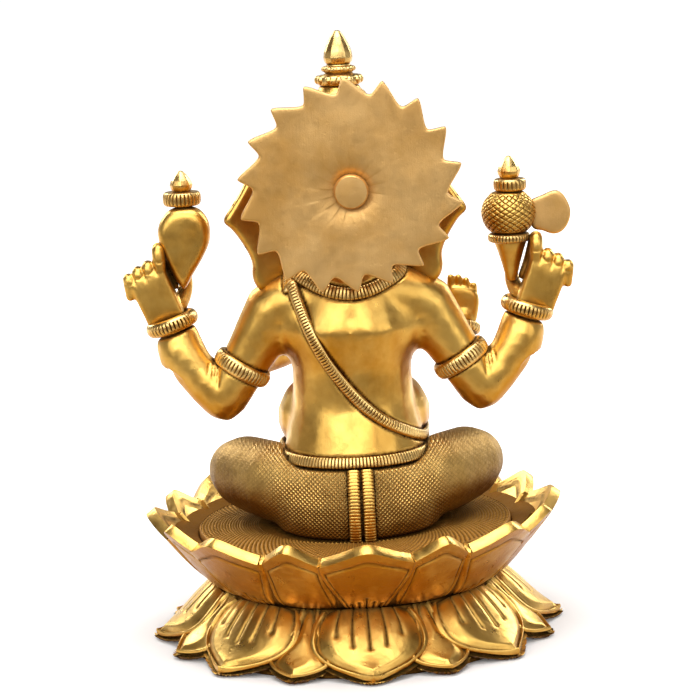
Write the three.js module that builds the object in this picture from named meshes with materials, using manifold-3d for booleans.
// Seated four-armed elephant-headed deity on a double lotus, cast in brass.
// Millimetres, +Z up. The figure faces -Y, its left side is +X.
// Origin: centre of the bounding box, on the surface that the base stands on.
import * as THREE from 'three';
import { mergeVertices } from 'three/addons/utils/BufferGeometryUtils.js';
import Module from 'manifold-3d';

const wasm = await Module();
wasm.setup();

// ---------------------------------------------------------------- dimensions

// Gap left between two pieces that touch.
const gap = 0.3;

// Round seat of the lotus. The petals' radii are measured out from it.
const seatRadius = 66;
const seatThickness = 5;
const seatBelowRim = 6.9;

// Double lotus: reach is how far a petal's tip stands out from the notches.
const petalCount = 8;
const seamInset = 4;
const tierWall = 6;
const petalRim = 5;
const lowerTierHeight = 24.2;
const lowerTierTurn = 3.1;
const lowerNotchOut = 15.5;
const lowerBigReach = 9.3;
const lowerSmallReach = 7.5;
const lowerBigHalfAngle = 15.5;
const lowerSmallHalfAngle = 8;
const upperTierHeight = 29.8;
const upperTierTurn = 2.9;
const upperNotchOut = 13;
const upperNotchDrop = 7;
const upperBigReach = 8.6;
const upperSmallReach = 6;
const upperBigHalfAngle = 12.8;
const upperSmallHalfAngle = 9.7;

// Fixing under the seat
const boltRadius = 4;
const boltHeadRadius = 7.5;
const boltHeadHeight = 5;
const boltLength = 16;

// Figure on its seat: the figure stands a little to its right of the lotus axis
const figureOffset = -1.7;
const waistRadius = 24.4;
const waistHeight = 61;
const beltHeight = 31.4;
const beltWidth = 4.2;
const bandThickness = 1.7;
const hipRadius = 37;
const chestRadius = 34;
const chestBelowShoulders = 8;
const shoulderHeight = 93;
const shoulderSpread = 31;
const neckRadius = 20;
const neckLength = 19;
const bellyRadius = 33;
const bellyBelowWaist = 18;
const sashWidth = 4.4;
const collarWidth = 5;
const collarDrop = 15.5;

// Crossed legs
const kneeSpread = 48.5;
const kneeRadius = 15.5;
const kneeHeight = 20;
const thighRadius = 17;
const shinRadius = 9.5;
const ankleHeight = 8.6;
const pleatWidth = 4.9;
const pleatSpacing = 5.8;
const pleatCentre = -1.4;
const pleatThickness = 2.2;

// Rear arms, raised
const shoulderRadius = 13;
const upperArmRadius = 10.6;
const elbowRadius = 9.7;
const elbowSpread = 54;
const elbowHeight = 55;
const wristSpread = 73.4;
const wristHeight = 84;
const wristRadius = 7.2;
const wristLean = 18;
const armletWidth = 7;
const braceletWidth = 6;
const bandReach = 1.2;
const armletShare = 0.64;
const ringBore = 3;
const handWidth = 17.8;
const handLength = 20;
const fingerRadius = 2.4;

// Front arms
const frontArmRadius = 8;
const frontWristRadius = 5.6;
const frontRingWidth = 4.4;
const bowlRadius = 8.5;
const bowlHeight = 6;
const sweetRadius = 3.1;

// Attributes held in the rear hands
const conchRadius = 11.2;
const conchLength = 35;
const conchInset = 5.9;
const conchAboveWrist = 17.2;
const axeInset = 5;
const axeAboveWrist = 17.5;
const gripLength = 13.2;
const axeHeadRadius = 11.2;
const axeHeadLength = 17.2;
const bladeThickness = 3;
const knobRadius = 4.9;
const knobHeight = 8.7;
const heldDepth = -8;

// Head, crown and halo
const headRadius = 25;
const headAboveNeck = 26;
const earThickness = 4.5;
const earSweep = 28;
const earRoot = 18;
const earBelowHeadTop = 4;
const earBelowNeck = 11;
const crownRadius = 17;
const crownHeight = 31.5;
const crownFinialRadius = 6.1;
const crownFinialHeight = 14.1;
const haloTipRadius = 46;
const haloRootRadius = 39.6;
const haloTeeth = 18;
const haloFirstTooth = 12;
const haloShortAt = 285;
const haloShortSpan = 48;
const haloShortBy = 5.2;
const haloThickness = 3.2;
const haloAboveHead = 5.6;
const haloOffset = -2.8;
const haloBack = 35;
const haloPinRadius = 7;
const haloPinProud = 3;
const haloPinDepth = 21;

// Sizes that follow from the ones above
const seamRadius = seatRadius - seamInset;
const lowerNotchRadius = seamRadius + lowerNotchOut;
const upperNotchRadius = seatRadius + upperNotchOut;
const chestHeight = shoulderHeight - chestBelowShoulders;
const neckHeight = shoulderHeight + neckLength;
const headHeight = neckHeight + headAboveNeck;
const haloHeight = headHeight + haloAboveHead;
const conchSpread = wristSpread - conchInset;
const conchBase = wristHeight + conchAboveWrist;
const axeSpread = axeInset - wristSpread;
const axeBase = wristHeight + axeAboveWrist;
const upperTierBase = lowerTierHeight + gap;
const seatTop = upperTierBase + upperTierHeight - seatBelowRim;

// ------------------------------------------------------------------ finishes

const satinBrass = { color: 0xb98d3e, roughness: 0.34, metalness: 1 };
const polishedBrass = { color: 0xd2a655, roughness: 0.22, metalness: 1 };
const chasedBrass = { color: 0xa67c35, roughness: 0.45, metalness: 1 };
const darkBrass = { color: 0x6e5024, roughness: 0.6, metalness: 1 };

// ------------------------------------------------------------ solid modelling

// A closed geometry with its shared vertices merged and its faces pointing out.
function toSolid(geometry) {
  const bare = geometry.clone();
  bare.deleteAttribute('normal');
  bare.deleteAttribute('uv');
  const merged = mergeVertices(bare, 1e-4);
  const place = merged.attributes.position;
  const index = Array.from(merged.index.array);
  const triangles = [];
  let volume = 0;
  const a = new THREE.Vector3();
  const b = new THREE.Vector3();
  const c = new THREE.Vector3();
  for (let i = 0; i < index.length; i += 3) {
    const [p, q, r] = index.slice(i, i + 3);
    if (p === q || q === r || r === p) continue;
    triangles.push(p, q, r);
    a.fromBufferAttribute(place, p);
    b.fromBufferAttribute(place, q);
    c.fromBufferAttribute(place, r);
    volume += a.dot(b.cross(c));
  }
  if (volume < 0) triangles.reverse();
  return new wasm.Manifold(new wasm.Mesh({
    numProp: 3,
    vertProperties: new Float32Array(place.array),
    triVerts: new Uint32Array(triangles),
  }));
}

function toGeometry(solid) {
  const mesh = solid.getMesh();
  const geometry = new THREE.BufferGeometry();
  geometry.setAttribute('position', new THREE.BufferAttribute(mesh.vertProperties, 3));
  geometry.setIndex(new THREE.BufferAttribute(mesh.triVerts, 1));
  geometry.computeVertexNormals();
  return geometry;
}

function join(...solids) {
  return solids.reduce((sum, next) => sum.add(next));
}

// Cuts the other solids away and leaves out crumbs thinner than the gap.
function carve(solid, ...others) {
  const cut = others.reduce((rest, next) => rest.subtract(next), solid);
  const lumps = cut.decompose();
  return lumps.reduce((best, next) => (next.volume() > best.volume() ? next : best));
}

// An ellipsoid with its three radii, turned by three angles in degrees.
function ball(centre, radii, options = {}) {
  const { grow = 0, tilt = [0, 0, 0], sides = 14, rings = 8 } = options;
  const geometry = new THREE.SphereGeometry(1, sides, rings);
  geometry.rotateX(Math.PI / 2);
  geometry.scale(radii[0] + grow, radii[1] + grow, radii[2] + grow);
  const [tiltX, tiltY, tiltZ] = tilt.map(THREE.MathUtils.degToRad);
  geometry.applyMatrix4(new THREE.Matrix4().makeRotationFromEuler(new THREE.Euler(tiltX, tiltY, tiltZ)));
  geometry.translate(...centre);
  return toSolid(geometry);
}

// A round-ended bar along a curve, its radius changing from point to point.
// depth is the direction in which the section is thinned by `flat`.
function limb(points, radii, options = {}) {
  const { grow = 0, wide = 1, flat = 1, sides = 12, steps = 4, caps = 2, depth = [0, 1, 0] } = options;
  const path = new THREE.CatmullRomCurve3(points.map((p) => new THREE.Vector3(...p)));
  const girth = new THREE.CatmullRomCurve3(radii.map((r) => new THREE.Vector3(r, 0, 0)));
  const geometry = new THREE.CapsuleGeometry(1, 1, caps, sides, steps);
  const place = geometry.attributes.position;
  const depthWish = new THREE.Vector3(...depth);
  for (let i = 0; i < place.count; i += 1) {
    const along = THREE.MathUtils.clamp(place.getY(i), -0.5, 0.5);
    const beyond = place.getY(i) - along;
    const middle = path.getPoint(along + 0.5);
    const tangent = path.getTangent(along + 0.5);
    const thin = depthWish.clone().addScaledVector(tangent, -depthWish.dot(tangent)).normalize();
    const side = new THREE.Vector3().crossVectors(tangent, thin);
    const radius = girth.getPoint(along + 0.5).x;
    const point = middle
      .addScaledVector(side, place.getX(i) * (radius * wide + grow))
      .addScaledVector(thin, place.getZ(i) * (radius * flat + grow))
      .addScaledVector(tangent, beyond * (radius + grow));
    place.setXYZ(i, point.x, point.y, point.z);
  }
  return toSolid(geometry);
}

// A profile of [radius, height] points turned about the Z axis.
function turned(profile, sides = 32) {
  const points = profile.map(([radius, height]) => new THREE.Vector2(radius, height));
  const geometry = new THREE.LatheGeometry(points, sides);
  geometry.rotateX(Math.PI / 2);
  return toSolid(geometry);
}

// A ring with rounded edges, its middle at height 0.
function band(inner, outer, width, sides = 20) {
  const half = width / 2;
  const soft = Math.min(width, outer - inner) * 0.3;
  return turned([
    [inner, -half],
    [outer - soft, -half],
    [outer, -half + soft],
    [outer, half - soft],
    [outer - soft, half],
    [inner, half],
    [inner, -half],
  ], sides);
}

// A flat outline in X and Z, extruded along Y from `front` to `back`.
function plate(outline, front, back) {
  const shape = new THREE.Shape(outline.map(([x, z]) => new THREE.Vector2(x, z)));
  const geometry = new THREE.ExtrudeGeometry(shape, { depth: back - front, bevelEnabled: false });
  geometry.rotateX(Math.PI / 2);
  geometry.translate(0, back, 0);
  return toSolid(geometry);
}

// Everything between two levels, further out than the statue reaches.
const far = 200;
function layer(low, high) {
  const geometry = new THREE.BoxGeometry(2 * far, 2 * far, high - low);
  geometry.translate(0, 0, (low + high) / 2);
  return toSolid(geometry);
}

// The outline of a strip of constant width along a curve in X and Z.
function strip(points, width, steps) {
  const path = new THREE.SplineCurve(points.map(([x, z]) => new THREE.Vector2(x, z)));
  const left = [];
  const right = [];
  for (let i = 0; i <= steps; i += 1) {
    const middle = path.getPoint(i / steps);
    const tangent = path.getTangent(i / steps);
    left.push([middle.x - tangent.y * width / 2, middle.y + tangent.x * width / 2]);
    right.push([middle.x + tangent.y * width / 2, middle.y - tangent.x * width / 2]);
  }
  return left.concat(right.reverse());
}

// Turns a solid made along Z so that it lies along `direction`, at `place`.
function aim(solid, place, direction) {
  const turn = new THREE.Quaternion().setFromUnitVectors(
    new THREE.Vector3(0, 0, 1),
    new THREE.Vector3(...direction).normalize(),
  );
  const matrix = new THREE.Matrix4().makeRotationFromQuaternion(turn);
  matrix.setPosition(...place);
  return solid.transform(matrix.elements);
}

function between(start, end, share) {
  return start.map((value, i) => THREE.MathUtils.lerp(value, end[i], share));
}

function direction(start, end) {
  return end.map((value, i) => value - start[i]);
}

// --------------------------------------------------------------- scene graph

const group = new THREE.Group();
const statue = new THREE.Group();
const figure = new THREE.Group();
figure.position.set(figureOffset, 0, seatTop);
statue.add(figure);
group.add(statue);

function addNode(parent, name, solid, finish) {
  const mesh = new THREE.Mesh(toGeometry(solid), new THREE.MeshStandardMaterial(finish));
  mesh.name = name;
  parent.add(mesh);
  return mesh;
}

// --------------------------------------------------------------- double lotus

// How far a petal reaches at an angle: 1 at a tip, 0 in the notch beside it.
function petalReach(angle, halfWidth, offset) {
  const pitch = 360 / petalCount;
  const turnedAngle = THREE.MathUtils.euclideanModulo(angle - offset + pitch / 2, pitch) - pitch / 2;
  const share = Math.abs(turnedAngle) / halfWidth;
  return share < 1 ? (1 - share ** 1.6) : 0;
}

// A ring of up- or down-turned petals. Each profile point is [radius, height,
// share of the petals' reach]; outer petals widen it and tall petals lift it.
function petalTier({ profile, big, small, rise, turn }) {
  const steps = 8 * petalCount;
  const points = profile.map(([radius, height]) => new THREE.Vector2(radius, height));
  const geometry = new THREE.LatheGeometry(points, steps);
  geometry.rotateX(Math.PI / 2);
  const place = geometry.attributes.position;
  for (let i = 0; i < place.count; i += 1) {
    const share = profile[i % profile.length][2];
    const radius = Math.hypot(place.getX(i), place.getY(i));
    const angle = THREE.MathUtils.radToDeg(Math.atan2(place.getY(i), place.getX(i)));
    const bigShare = petalReach(angle, big.halfAngle, 90);
    const smallShare = petalReach(angle, small.halfAngle, 90 + 180 / petalCount);
    const reach = Math.max(bigShare * big.reach, smallShare * small.reach);
    const lift = Math.max(bigShare, smallShare) * rise;
    const scale = (radius + share * reach) / radius;
    place.setXYZ(i, place.getX(i) * scale, place.getY(i) * scale, place.getZ(i) + share * lift);
  }
  geometry.rotateZ(THREE.MathUtils.degToRad(turn));
  return toSolid(geometry);
}

const lowerInner = lowerNotchRadius - petalRim;
const onLowerTier = (share) => lowerTierHeight * share;
addNode(statue, 'lotus_lower_tier', petalTier({
  profile: [
    [seamRadius - tierWall, onLowerTier(1), 0],
    [seamRadius - tierWall, onLowerTier(0.75), 0],
    [lowerInner - 6, onLowerTier(0.33), 0.2],
    [lowerInner, 0, 0.9],
    [lowerNotchRadius, 0, 1],
    [lowerNotchRadius, onLowerTier(0.107), 0.95],
    [lowerNotchRadius - 3.5, onLowerTier(0.35), 0.55],
    [seamRadius + 4.5, onLowerTier(0.64), 0.25],
    [seamRadius + 0.5, onLowerTier(0.89), 0],
    [seamRadius - 2, onLowerTier(1), 0],
    [seamRadius - tierWall, onLowerTier(1), 0],
  ],
  big: { reach: lowerBigReach, halfAngle: lowerBigHalfAngle },
  small: { reach: lowerSmallReach, halfAngle: lowerSmallHalfAngle },
  rise: 0,
  turn: lowerTierTurn,
}), chasedBrass);

const upperRimHeight = upperTierBase + upperTierHeight - upperNotchDrop;
const upperInner = seatRadius + gap;
addNode(statue, 'lotus_upper_tier', petalTier({
  profile: [
    [seamRadius - tierWall, upperTierBase, 0],
    [seamRadius - 2, upperTierBase, 0],
    [seamRadius + 1.5, upperTierBase + 3, 0],
    [seamRadius + 10, upperTierBase + 10, 0.1],
    [upperNotchRadius - 1.5, upperRimHeight - 6, 0.5],
    [upperNotchRadius, upperRimHeight, 1],
    [upperNotchRadius - petalRim + 1.2, upperRimHeight, 1],
    [upperInner + 0.3, upperRimHeight - 4.5, 0.25],
    [upperInner, seatTop - seatThickness - gap, 0],
    [upperInner - 4, seatTop - seatThickness - gap, 0],
    [seamRadius - tierWall + 1, upperTierBase + 8, 0],
    [seamRadius - tierWall, upperTierBase, 0],
  ],
  big: { reach: upperBigReach, halfAngle: upperBigHalfAngle },
  small: { reach: upperSmallReach, halfAngle: upperSmallHalfAngle },
  rise: upperNotchDrop,
  turn: upperTierTurn,
}), chasedBrass);

// A hole for the bolt, from below the base up to its end in the hips.
const boltTop = seatTop - seatThickness - gap + boltLength;
const boltHole = turned([
  [0, -gap],
  [boltRadius + gap, -gap],
  [boltRadius + gap, boltTop + gap],
  [0, boltTop + gap],
  [0, -gap],
], 12);
const seatPlate = turned([
  [0, seatTop - seatThickness],
  [seatRadius - 1.5, seatTop - seatThickness],
  [seatRadius, seatTop - seatThickness + 1.5],
  [seatRadius, seatTop - 1.2],
  [seatRadius - 1.5, seatTop],
  [0, seatTop],
  [0, seatTop - seatThickness],
], 48).subtract(boltHole);
addNode(statue, 'lotus_seat', seatPlate, chasedBrass);

// The bolt comes up through the seat and screws into the hips from below.
const boltHeadTop = seatTop - seatThickness - gap;
addNode(statue, 'seat_bolt', turned([
  [0, boltHeadTop - boltHeadHeight],
  [boltHeadRadius, boltHeadTop - boltHeadHeight],
  [boltHeadRadius, boltHeadTop],
  [boltRadius, boltHeadTop],
  [boltRadius, boltTop],
  [0, boltTop],
  [0, boltHeadTop - boltHeadHeight],
], 12), darkBrass);

// ------------------------------------------------------------ legs and dhoti

const seatCut = layer(-far, gap);
const boltBore = boltHole.translate([-figureOffset, 0, -seatTop]);

// The seat of the dhoti: nearly upright at the back, drawn in under the belt.
function hips(grow) {
  const profile = [
    [hipRadius - 4, 0],
    [hipRadius - 0.6, 0.22],
    [hipRadius + 0.5, 0.45],
    [hipRadius - 1.5, 0.7],
    [hipRadius - 5.5, 0.96],
  ];
  const side = profile.map(([radius, share]) => [radius + grow, share * beltHeight]);
  side[0][1] -= 1 + grow;
  side[side.length - 1][1] += 1 + grow;
  const [low, high] = [side[0][1], side[side.length - 1][1]];
  return turned([[0, low], ...side, [0, high], [0, low]], 28).scale([1, 0.9, 1]).translate([0, 9, 0]);
}

function thigh(side, grow) {
  return limb(
    [
      [side * 15, 19, thighRadius + 0.6],
      [side * 34, 5, thighRadius + 2],
      [side * kneeSpread, -14, kneeHeight],
    ],
    [thighRadius, thighRadius, kneeRadius],
    { grow, sides: 18, depth: [0, 0, 1] },
  );
}

// The left shin lies in front of the right one.
const ankleDepth = (side) => (side > 0 ? -50 : -38);

function shin(side, grow) {
  const ankle = [side * -6, ankleDepth(side), ankleHeight + 1];
  const knee = [side * (kneeSpread - 3), -22, ankleHeight + 4.4];
  return limb(
    [knee, [side * 24, (ankle[1] + knee[1]) / 2 - 4, ankleHeight + 2.4], ankle],
    [shinRadius + 1.5, shinRadius, shinRadius - 2],
    { grow, sides: 14, depth: [0, 0, 1] },
  );
}

function foot(side, grow) {
  const heel = [side * -14, ankleDepth(side), ankleHeight];
  const toes = [side * -34, ankleDepth(side) + 6, ankleHeight - 2];
  return limb([heel, between(heel, toes, 0.5), toes], [7.4, 6.6, 5], {
    grow,
    sides: 12,
    flat: 0.8,
    depth: [0, 0, 1],
  });
}

// ---------------------------------------------------------------- torso

function torso(grow) {
  return join(
    limb(
      [[0, 5, beltHeight - 11.4], [0, 4, beltHeight + 8.6], [0, 3, waistHeight], [0, 3, chestHeight]],
      [hipRadius - 2, waistRadius + 3.6, waistRadius, waistRadius + 5],
      { grow, flat: 0.95, sides: 20 },
    ),
    ball([0, -13, waistHeight - bellyBelowWaist], [bellyRadius, 27, 24], { grow, sides: 18, rings: 9 }),
    ball([0, 3, chestHeight], [chestRadius, 24, 21], { grow, sides: 18, rings: 10 }),
    limb(
      [
        [-shoulderSpread, 4, shoulderHeight],
        [0, 6, shoulderHeight + 5],
        [shoulderSpread, 4, shoulderHeight],
      ],
      [shoulderRadius - 0.4, shoulderRadius + 3, shoulderRadius - 0.4],
      { grow, sides: 14, depth: [0, 1, 0] },
    ),
    limb([[0, 4, shoulderHeight + 4], [0, 0, neckHeight]], [neckRadius + 2, neckRadius], {
      grow,
      steps: 2,
    }),
  );
}

const beltBottom = beltHeight - beltWidth / 2;
const beltTop = beltHeight + beltWidth / 2;
const beltCut = layer(-far, beltBottom);
const hipTopCut = layer(beltBottom - gap, far);

// --------------------------------------------------------------- rear arms

function rearJoints(side) {
  const lean = THREE.MathUtils.degToRad(wristLean);
  const wrist = [side * wristSpread, -2, wristHeight];
  const wristAim = [side * Math.sin(lean), 0, Math.cos(lean)];
  return {
    shoulder: [side * shoulderSpread, 4, shoulderHeight - 1],
    elbow: [side * elbowSpread, 4, elbowHeight],
    wrist,
    bracelet: wrist.map((value, i) => value + 3.5 * wristAim[i]),
    wristAim,
  };
}

function rearUpperArm(side, grow) {
  const { shoulder, elbow } = rearJoints(side);
  const middle = between(shoulder, elbow, 0.5);
  const radii = [shoulderRadius, upperArmRadius, elbowRadius];
  return limb([shoulder, middle, elbow], radii, { grow, sides: 16 });
}

function rearForearm(side, grow) {
  const { elbow, wrist } = rearJoints(side);
  const bend = between(elbow, wrist, 0.5);
  bend[0] += side * 3.4;
  bend[2] -= 0.6;
  const bendRadius = (elbowRadius + wristRadius) / 2 + 0.5;
  return limb([elbow, bend, wrist], [elbowRadius, bendRadius, wristRadius], { grow });
}

// A fist seen from its back: a flat palm that carries four curled fingers, the
// first one raised beside what the hand holds.
function rearHand(side, grow) {
  const { bracelet } = rearJoints(side);
  const [x, y, z] = bracelet;
  const first = [x + side * 5.2, y, z + handLength + 5.2];
  const last = [x + side * 17.4, y, z + handLength - 1.6];
  const middle = between(first, last, 0.45);
  const palm = limb(
    [[x, y, z], between(bracelet, middle, 0.5), [middle[0], y, middle[2] - 6]],
    [wristRadius - 0.4, handWidth * 0.47, handWidth * 0.51],
    { grow, flat: 0.55, sides: 14, steps: 4 },
  );
  const fingers = [0, 1, 2, 3].map((i) => {
    const root = between(first, last, i / 3);
    const lift = i === 0 ? 4.6 : 0;
    return limb(
      [
        [root[0], y + 1.5, root[2] - 4], [root[0], y - 0.5, root[2] + lift - 2.4],
        [root[0], y - 6, root[2] + lift - 3.4], [root[0], y - 7, root[2] - 9],
      ],
      [fingerRadius, fingerRadius, fingerRadius - 0.2, fingerRadius - 0.4],
      { grow, sides: 6, steps: 4, caps: 1, depth: [1, 0, 0] },
    );
  });
  return join(palm, ...fingers);
}

// ------------------------------------------------------------- front arms

// The right hand is raised in blessing, the left one carries sweets.
const frontJoints = {
  right: {
    shoulder: [-27, -12, shoulderHeight - 5],
    elbow: [-47, -24, shoulderHeight - 31],
    wrist: [-48.6, -30, shoulderHeight - 18],
    palm: [-49, -30.5, shoulderHeight - 9],
  },
  left: {
    shoulder: [27, -12, shoulderHeight - 5],
    elbow: [42, -28, shoulderHeight - 28],
    wrist: [23, -49, shoulderHeight - 27],
    palm: [14, -55, shoulderHeight - 27],
  },
};

function frontUpperArm(name, grow) {
  const { shoulder, elbow } = frontJoints[name];
  return limb(
    [shoulder, between(shoulder, elbow, 0.5), elbow],
    [frontArmRadius + 1, frontArmRadius, frontArmRadius - 0.6],
    { grow, sides: 14 },
  );
}

function frontForearm(name, grow) {
  const { elbow, wrist } = frontJoints[name];
  return limb(
    [elbow, between(elbow, wrist, 0.5), wrist],
    [frontArmRadius - 0.6, frontArmRadius - 1.2, frontWristRadius],
    { grow, sides: 14 },
  );
}

function frontHand(name, grow) {
  const { wrist, palm } = frontJoints[name];
  const raised = name === 'right';
  const depth = raised ? [0, 1, 0] : [0, 0, 1];
  const body = limb([wrist, palm], [frontWristRadius - 0.4, 7], {
    grow,
    flat: 0.5,
    wide: 1.1,
    steps: 3,
    depth,
  });
  const reach = raised ? [0, 0, 12.5] : [-11, -7, -1];
  const spread = raised ? [3.4, 0, 0] : [1.8, -2.8, 0];
  const fingers = [-1.5, -0.5, 0.5, 1.5].map((step) => {
    const root = palm.map((value, i) => value + spread[i] * step);
    const length = 1 - Math.abs(step) * 0.1;
    const tip = root.map((value, i) => value + reach[i] * length);
    return limb([root, tip], [fingerRadius + 0.1, fingerRadius - 0.4], {
      grow,
      sides: 6,
      steps: 1,
      caps: 1,
      depth,
    });
  });
  return join(body, ...fingers);
}

// ---------------------------------------------------------------- the head

const headCentre = [-1, -2, headHeight];

function head(grow) {
  return join(
    ball(headCentre, [headRadius, headRadius, headRadius], { grow, sides: 16, rings: 10 }),
    ball([-1, -20, headHeight - 6], [15, 15, 15], { grow }),
  );
}

function trunk(grow) {
  return limb(
    [
      [-1, -32, headHeight - 4],
      [-2, -44, headHeight - 22],
      [-5, -50, headHeight - 42],
      [-2, -55, headHeight - 56],
      [8, -56, headHeight - 61],
      [15, -55, headHeight - 54],
    ],
    [9.5, 8.6, 7.2, 5.8, 4.6, 3.6],
    { grow, sides: 12, steps: 10, depth: [0, 1, 0] },
  );
}

function tusk(side, grow) {
  const root = [-1 + side * 10, -32, headHeight - 14];
  const tip = [-1 + side * 16, -45, headHeight - 18];
  return limb([root, between(root, tip, 0.5), tip], [3, 2.4, 1.2], { grow, sides: 10, steps: 3 });
}

// The outline of a smooth closed plate through the given points.
function smoothOutline(points) {
  const [first, ...rest] = points.map(([x, z]) => new THREE.Vector2(x, z));
  const shape = new THREE.Shape();
  shape.moveTo(first.x, first.y);
  shape.splineThru([...rest, first]);
  const outline = shape.getPoints(2).map((p) => [p.x, p.y]);
  outline.pop();
  return outline;
}

// A fan-shaped ear, swept back so that its tip shows beside the halo. It hangs
// from beside the crown to the collar; heights are shares of that span.
const earBottom = neckHeight - earBelowNeck;
const earTop = headHeight + headRadius - earBelowHeadTop;

function ear(side) {
  const outline = smoothOutline([
    [0, 0.948], [9, 1], [19, 0.914], [27, 0.707], [33.4, 0.586], [35.9, 0.517], [31.3, 0.448],
    [25.6, 0.303], [23.2, 0.202], [23.5, 0.074], [20, 0], [12, 0.034], [4, 0.207], [0, 0.431],
  ].map(([x, share]) => [x, THREE.MathUtils.lerp(earBottom, earTop, share)]));
  const swept = plate(outline, -earThickness / 2, earThickness / 2)
    .rotate([0, 0, earSweep])
    .translate([earRoot, -1, 0]);
  return side > 0 ? swept : swept.mirror([1, 0, 0]).translate([0, 0, 1]);
}

// A tiered crown under the finial, a plain cone with ring mouldings.
const crownBase = headHeight + headRadius - 11;
const crownTop = crownBase + crownHeight;
const crownAxis = [0, -3, 0];
const crownProfile = [
  [crownRadius + 3, crownBase],
  [crownRadius + 5, crownBase + 4],
  [crownRadius + 3.5, crownBase + 9],
  [crownRadius, crownBase + 11],
  [crownRadius + 1, crownBase + 17],
  [crownRadius - 3, crownBase + 21],
  [crownRadius - 3.5, crownBase + 26],
  [crownRadius - 7, crownTop - 4],
  [crownRadius - 9, crownTop],
];

function crownBlock(grow) {
  const side = crownProfile.map(([radius, height]) => [radius + grow, height]);
  side[0][1] -= grow;
  side[side.length - 1][1] += grow;
  const [low, high] = [side[0][1], side[side.length - 1][1]];
  return turned([[0, low], ...side, [0, high], [0, low]], 20).translate(crownAxis);
}

const crownBandTop = crownTop + 8.6;
const crownBand = turned([
  [0, crownTop + gap],
  [8.4, crownTop + gap],
  [9.1, crownTop + 1.2],
  [9.1, crownTop + 3.4],
  [8, crownTop + 4.4],
  [5.6, crownTop + 5],
  [6.5, crownTop + 6],
  [6.5, crownTop + 7.6],
  [5.2, crownBandTop],
  [0, crownBandTop],
  [0, crownTop + gap],
], 20).translate(crownAxis);

const finialBase = crownBandTop + gap;
const finialTop = finialBase + crownFinialHeight;
const crownFinial = turned([
  [0, finialBase],
  [crownFinialRadius - 1.6, finialBase],
  [crownFinialRadius, finialBase + 1.8],
  [crownFinialRadius - 0.7, finialBase + 5],
  [crownFinialRadius - 2.8, finialBase + 9.6],
  [0.8, finialTop - 0.5],
  [0, finialTop],
  [0, finialBase],
], 20).translate(crownAxis);

// ---------------------------------------------------------------- the halo

// Saw-tooth outline: each tooth rises on a long slope and falls steeply. The
// teeth over the nape are filed shorter, so that they clear the collar.
function haloOutline() {
  const pitch = 360 / haloTeeth;
  const points = [];
  for (let i = 0; i < haloTeeth; i += 1) {
    const tip = haloFirstTooth + i * pitch;
    const steps = [
      [tip, haloTipRadius],
      [tip + pitch * 0.21, haloRootRadius],
      [tip + pitch * 0.42, haloRootRadius + 0.6],
      [tip + pitch * 0.72, (haloTipRadius + haloRootRadius) / 2],
      [tip + pitch * 0.92, haloTipRadius - 0.9],
    ];
    for (const [degrees, fullRadius] of steps) {
      const away = THREE.MathUtils.euclideanModulo(degrees - haloShortAt + 180, 360) - 180;
      const radius = fullRadius - haloShortBy * Math.exp(-((away / haloShortSpan) ** 2));
      const angle = THREE.MathUtils.degToRad(degrees);
      points.push([haloOffset - radius * Math.cos(angle), haloHeight + radius * Math.sin(angle)]);
    }
  }
  return points;
}

const haloFront = haloBack - haloThickness;
const pinAxis = [haloOffset, 0, haloHeight];
const pinStart = haloFront - haloPinDepth;
const pinEnd = haloBack + haloPinProud;

function pin(radius, start, end) {
  const straight = turned([
    [0, start],
    [radius, start],
    [radius, end - 1],
    [radius - 1, end],
    [0, end],
    [0, start],
  ], 20);
  return aim(straight, pinAxis, [0, 1, 0]);
}

const haloPin = pin(haloPinRadius, pinStart, pinEnd);
const pinHole = pin(haloPinRadius + gap, pinStart - gap, pinEnd + 2);
const halo = plate(haloOutline(), haloFront, haloBack);
const haloClear = plate(haloOutline(), haloFront - gap, haloBack + gap);

// ------------------------------------------- placing the figure, back to front

const torsoGap = torso(gap);
const bothThighs = (grow) => join(thigh(1, grow), thigh(-1, grow));
const rearArmsGap = join(rearUpperArm(1, gap), rearUpperArm(-1, gap));

const beltBody = (grow) => torso(bandThickness + grow).intersect(layer(beltBottom - grow, beltTop + grow));
addNode(figure, 'torso', carve(torso(0), beltCut, head(gap)), satinBrass);

const hipBody = carve(hips(0), seatCut, hipTopCut, boltBore);
addNode(figure, 'dhoti_hips', hipBody, chasedBrass);
const sides = { left: 1, right: -1 };
for (const [name, side] of Object.entries(sides)) {
  const body = carve(thigh(side, 0), seatCut, hips(gap), torsoGap, beltBody(gap));
  addNode(figure, `dhoti_thigh_${name}`, body, chasedBrass);
}
const aboveShins = join(bothThighs(gap), torsoGap, hips(gap));
const leftShinGap = join(shin(1, gap), foot(1, gap));
addNode(figure, 'dhoti_shin_left', carve(shin(1, 0), seatCut, aboveShins), chasedBrass);
addNode(figure, 'dhoti_shin_right', carve(shin(-1, 0), seatCut, aboveShins, leftShinGap), chasedBrass);
addNode(figure, 'foot_left', carve(foot(1, 0), seatCut, shin(1, gap), bothThighs(gap)), satinBrass);

// Two ribbed pleats hang down the back of the dhoti to the seat.
const pleatTop = beltBottom - 2 * gap;
for (const [name, side] of Object.entries(sides)) {
  const left = pleatCentre + (side * pleatSpacing - pleatWidth) / 2;
  const right = left + pleatWidth;
  const outline = [[left, gap], [right, gap], [right, pleatTop], [left, pleatTop]];
  const strap = plate(outline, 0, far).intersect(hips(pleatThickness));
  addNode(figure, `dhoti_pleat_${name}`, carve(strap, hips(gap), seatCut, hipTopCut), chasedBrass);
}

// Belt, sash and collar are strips that lie on the body.
addNode(figure, 'waist_belt', carve(beltBody(0), torsoGap), polishedBrass);

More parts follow.
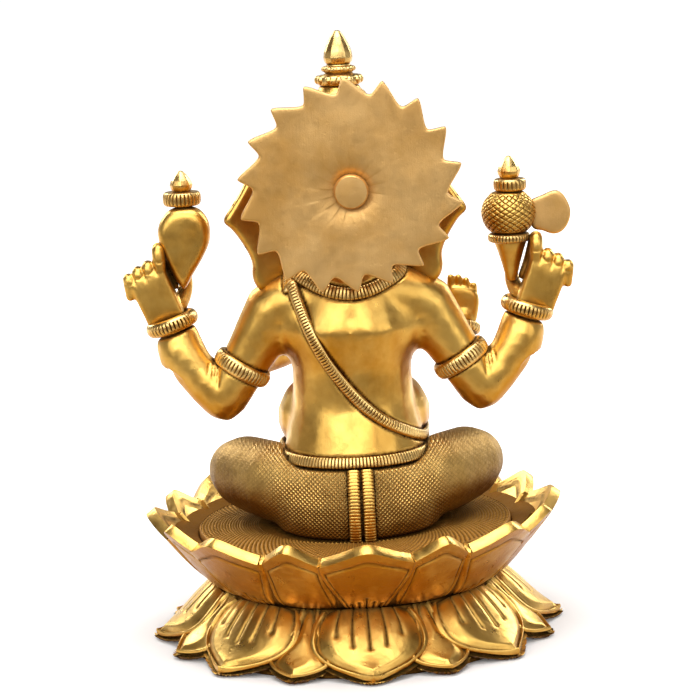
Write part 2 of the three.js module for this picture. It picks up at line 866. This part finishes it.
// The sash runs from above the left shoulder to the right hip. Each point is
// its place across and its share of the way from the belt to the shoulders,
// but the last two lie just above the belt.
const sashRise = 0.3;
const onBack = (share) => THREE.MathUtils.lerp(beltHeight, shoulderHeight, share);
const sashLine = [
  [24, onBack(1.52)],
  [22.5, onBack(1.21)],
  [19.7, onBack(1.03)],
  [13.5, onBack(0.787)],
  [5.5, onBack(0.576)],
  [-4.2, onBack(0.362)],
  [-16.6, onBack(0.206)],
  [-28.7, beltTop + 4.9],
  [-46, beltTop + 3],
];
const wrap = (line, width, steps) => plate(strip(line, width, steps), -far, far);
const sashBody = (grow) => torso(bandThickness + sashRise + grow)
  .intersect(wrap(sashLine, sashWidth + 2 * grow, 10));
const collarLowest = neckHeight - collarDrop;
const collarLine = [
  [25.5, neckHeight + 10],
  [20.5, neckHeight - 4.5],
  [11.5, collarLowest + 4],
  [-1, collarLowest + 0.8],
  [-13.5, collarLowest + 4],
  [-22.5, neckHeight - 4.5],
  [-27.5, neckHeight + 10],
];
const collarSlab = (grow) => wrap(collarLine, collarWidth + 2 * grow, 12);
const collarBody = (grow) => torso(bandThickness + grow).intersect(collarSlab(grow));
const frontArms = (grow) => join(
  frontUpperArm('left', grow),
  frontUpperArm('right', grow),
  frontForearm('left', grow),
  frontForearm('right', grow),
);
const belowBeltTop = layer(-far, beltTop + gap);
const roundNeck = join(torsoGap, head(gap), haloClear, rearArmsGap);
const roundSash = join(roundNeck, collarSlab(gap), frontArms(gap), bothThighs(gap), belowBeltTop);
addNode(figure, 'neck_collar', carve(collarBody(0), roundNeck, trunk(gap)), polishedBrass);
addNode(figure, 'sash', carve(sashBody(0), roundSash), polishedBrass);

// Rear arms with an armlet above the elbow, a bracelet at the wrist and a hand.
const braceletOuter = wristRadius + bandReach + 1.9;

function rearBracelet(side, grow) {
  const { bracelet, wristAim } = rearJoints(side);
  const ring = band(ringBore - grow, braceletOuter + grow, braceletWidth + 2 * grow);
  return aim(ring, bracelet, wristAim);
}

for (const [name, side] of Object.entries(sides)) {
  const { shoulder, elbow, bracelet, wristAim } = rearJoints(side);
  const upperGap = rearUpperArm(side, gap);
  const foreGap = rearForearm(side, gap);
  const armletPlace = between(shoulder, elbow, armletShare);
  const armletOuter = upperArmRadius + bandReach;
  const armletRing = band(ringBore, armletOuter, armletWidth);
  const armlet = aim(armletRing, armletPlace, direction(shoulder, elbow));
  const edge = braceletWidth / 2 + gap;
  const wristPlane = aim(layer(-edge, far), bracelet, wristAim);
  const handPlane = aim(layer(-far, edge), bracelet, wristAim);
  addNode(figure, `rear_upper_arm_${name}`, carve(rearUpperArm(side, 0), torsoGap), satinBrass);
  addNode(figure, `rear_forearm_${name}`, carve(rearForearm(side, 0), upperGap, wristPlane), satinBrass);
  addNode(figure, `armlet_${name}`, carve(armlet, upperGap, foreGap), polishedBrass);
  addNode(figure, `bracelet_${name}`, rearBracelet(side, 0), polishedBrass);
  addNode(figure, `rear_hand_${name}`, carve(rearHand(side, 0), handPlane), satinBrass);
}

// ------------------------------------------------- what the rear hands hold

// The conch stands on its narrow end in the left hand.
const conchTop = conchBase + conchLength;
const conchAxis = [conchSpread, heldDepth, 0];
const handsGap = join(rearHand(1, gap), rearHand(-1, gap));
const conch = turned([
  [0, conchBase],
  [2.4, conchBase + 0.8],
  [4.4, conchBase + conchLength * 0.2],
  [conchRadius - 2.6, conchBase + conchLength * 0.4],
  [conchRadius, conchBase + conchLength * 0.63],
  [conchRadius - 0.7, conchBase + conchLength * 0.786],
  [conchRadius - 4.6, conchTop - 1.2],
  [0, conchTop - 1],
  [0, conchBase],
], 24).scale([1, 0.82, 1]).translate(conchAxis);
addNode(figure, 'conch', carve(conch, handsGap, rearBracelet(1, gap)), satinBrass);

function mouldedRing(radius, low, high) {
  return turned([
    [0, low],
    [radius - 1.2, low],
    [radius, low + 1.2],
    [radius, high - 1.2],
    [radius - 1.2, high],
    [0, high],
    [0, low],
  ], 18);
}

function knob(low, high) {
  return turned([
    [0, low],
    [knobRadius - 1, low],
    [knobRadius, low + 1.8],
    [knobRadius - 0.6, low + 3.6],
    [1.6, high - 1],
    [0, high],
    [0, low],
  ], 16);
}

const conchRingBase = conchTop - 1 + gap;
const conchRingTop = conchRingBase + 5.8;
const conchRing = mouldedRing(7.6, conchRingBase, conchRingTop);
const conchKnob = knob(conchRingTop + gap, conchRingTop + gap + knobHeight);
addNode(figure, 'conch_ring', conchRing.translate(conchAxis), polishedBrass);
addNode(figure, 'conch_finial', conchKnob.translate(conchAxis), polishedBrass);

// The battle axe: a funnel-shaped grip, a chased head with a flat blade.
const gripTop = axeBase + gripLength;
const lowerRingBase = gripTop + gap;
const lowerRingTop = lowerRingBase + 3.6;
const axeHeadBase = lowerRingTop + gap;
const axeHeadTop = axeHeadBase + axeHeadLength;
const axeRingBase = axeHeadTop + gap;
const axeRingTop = axeRingBase + 5.2;
const axeAxis = [axeSpread, heldDepth, 0];
const grip = turned([
  [0, axeBase],
  [2, axeBase],
  [3.4, axeBase + gripLength * 0.3],
  [6.8, gripTop],
  [0, gripTop],
  [0, axeBase],
], 20).translate(axeAxis);
addNode(figure, 'axe_grip', carve(grip, handsGap, rearBracelet(-1, gap)), satinBrass);
const lowerRing = mouldedRing(8.7, lowerRingBase, lowerRingTop).translate(axeAxis);
addNode(figure, 'axe_lower_ring', carve(lowerRing, handsGap), polishedBrass);
const axeHeadAt = (grow) => turned([
  [0, axeHeadBase - grow],
  [6.2 + grow, axeHeadBase - grow],
  [axeHeadRadius - 1.8 + grow, axeHeadBase + axeHeadLength * 0.18],
  [axeHeadRadius + grow, axeHeadBase + axeHeadLength * 0.45],
  [axeHeadRadius - 0.9 + grow, axeHeadBase + axeHeadLength * 0.72],
  [6 + grow, axeHeadTop + grow],
  [0, axeHeadTop + grow],
  [0, axeHeadBase - grow],
], 24).translate(axeAxis);
addNode(figure, 'axe_head', carve(axeHeadAt(0), handsGap), chasedBrass);
const upperRing = mouldedRing(6.75, axeRingBase, axeRingTop);
const axeKnob = knob(axeRingTop + gap, axeRingTop + gap + knobHeight);
addNode(figure, 'axe_upper_ring', upperRing.translate(axeAxis), polishedBrass);
addNode(figure, 'axe_finial', axeKnob.translate(axeAxis), polishedBrass);

// The blade's outline is measured from the outside of the axe head.
const bladeMiddle = axeHeadBase + axeHeadLength / 2;
const bladeOutline = smoothOutline([
  [4, 4.4], [0, 5], [-4.9, 8], [-10, 8.4], [-13.6, 4.8], [-14.6, -0.8],
  [-12.4, -7], [-8, -9.4], [-3.9, -8.2], [0, -5.8], [4, -5],
].map(([x, z]) => [axeSpread - axeHeadRadius + x, bladeMiddle + z]));
const blade = plate(bladeOutline, heldDepth - bladeThickness / 2, heldDepth + bladeThickness / 2);
addNode(figure, 'axe_blade', carve(blade, axeHeadAt(gap), handsGap), polishedBrass);

// ------------------------------------------------------------ front arms

const frontRingRadius = frontWristRadius + 2.1;
for (const [name, side] of Object.entries(sides)) {
  const { wrist, elbow } = frontJoints[name];
  const foreAim = direction(elbow, wrist);
  const edge = frontRingWidth / 2 + gap;
  const beyondRing = aim(layer(-edge, far), wrist, foreAim);
  const beforeRing = aim(layer(-far, edge), wrist, foreAim);
  const ring = aim(band(ringBore, frontRingRadius, frontRingWidth, 16), wrist, foreAim);
  const bodyGap = join(torsoGap, rearUpperArm(side, gap), rearForearm(side, gap));
  const upperGap = frontUpperArm(name, gap);
  const forearm = carve(frontForearm(name, 0), upperGap, bodyGap, beyondRing);
  addNode(figure, `front_upper_arm_${name}`, carve(frontUpperArm(name, 0), bodyGap), satinBrass);
  addNode(figure, `front_forearm_${name}`, forearm, satinBrass);
  addNode(figure, `front_bracelet_${name}`, carve(ring, torsoGap, upperGap), polishedBrass);
  addNode(figure, `front_hand_${name}`, carve(frontHand(name, 0), beforeRing, torsoGap), satinBrass);
}

// A bowl of round sweets rests on the open left hand.
const [palmX, palmY, palmZ] = frontJoints.left.palm;
const bowlPlace = [palmX - 4, palmY - 2.5, palmZ + 3.2];
const [bowlX, bowlY, bowlZ] = bowlPlace;
const sweetSpread = bowlRadius - sweetRadius - 1.5;
const sweet = (x, y, z) => ball([x, y, z], [sweetRadius, sweetRadius, sweetRadius], { sides: 8, rings: 5 });
const sweets = [0, 90, 180, 270].map((degrees) => {
  const angle = THREE.MathUtils.degToRad(degrees);
  const x = bowlX + sweetSpread * Math.cos(angle);
  const y = bowlY + sweetSpread * Math.sin(angle);
  return sweet(x, y, bowlZ + bowlHeight);
});
const topSweet = sweet(bowlX, bowlY, bowlZ + bowlHeight + sweetRadius);
const bowl = turned([
  [0, 0],
  [bowlRadius - 4.1, 0],
  [bowlRadius - 3.5, bowlHeight * 0.13],
  [bowlRadius - 1.1, bowlHeight * 0.4],
  [bowlRadius, bowlHeight],
  [0, bowlHeight],
  [0, 0],
], 20).translate(bowlPlace);
const sweetBowl = join(bowl, ...sweets, topSweet);
addNode(figure, 'sweet_bowl', carve(sweetBowl, frontHand('left', gap), trunk(gap)), satinBrass);

// ---------------------------------------------------------- head and crown

addNode(figure, 'head', carve(head(0), pinHole, haloClear, crownBlock(gap)), satinBrass);
addNode(figure, 'trunk', carve(trunk(0), head(gap), torsoGap), satinBrass);
const roundEars = join(head(gap), haloClear, crownBlock(gap), torsoGap, collarBody(gap), sashBody(gap));
for (const [name, side] of Object.entries(sides)) {
  addNode(figure, `ear_${name}`, carve(ear(side), roundEars), satinBrass);
  addNode(figure, `tusk_${name}`, carve(tusk(side, 0), head(gap), trunk(gap)), polishedBrass);
}
addNode(figure, 'crown', carve(crownBlock(0), haloClear, pinHole), chasedBrass);
addNode(figure, 'crown_band', crownBand, polishedBrass);
addNode(figure, 'crown_finial', crownFinial, polishedBrass);

// The halo plate is held to the back of the head by one riveted pin.
addNode(figure, 'halo_plate', carve(halo, pinHole), satinBrass);
addNode(figure, 'halo_pin', haloPin, polishedBrass);

// Centre the bounding box on the axis and stand the base on height 0.
const bounds = new THREE.Box3().setFromObject(group);
statue.position.set(-(bounds.min.x + bounds.max.x) / 2, -(bounds.min.y + bounds.max.y) / 2, -bounds.min.z);
group.updateMatrixWorld(true);

export default group;
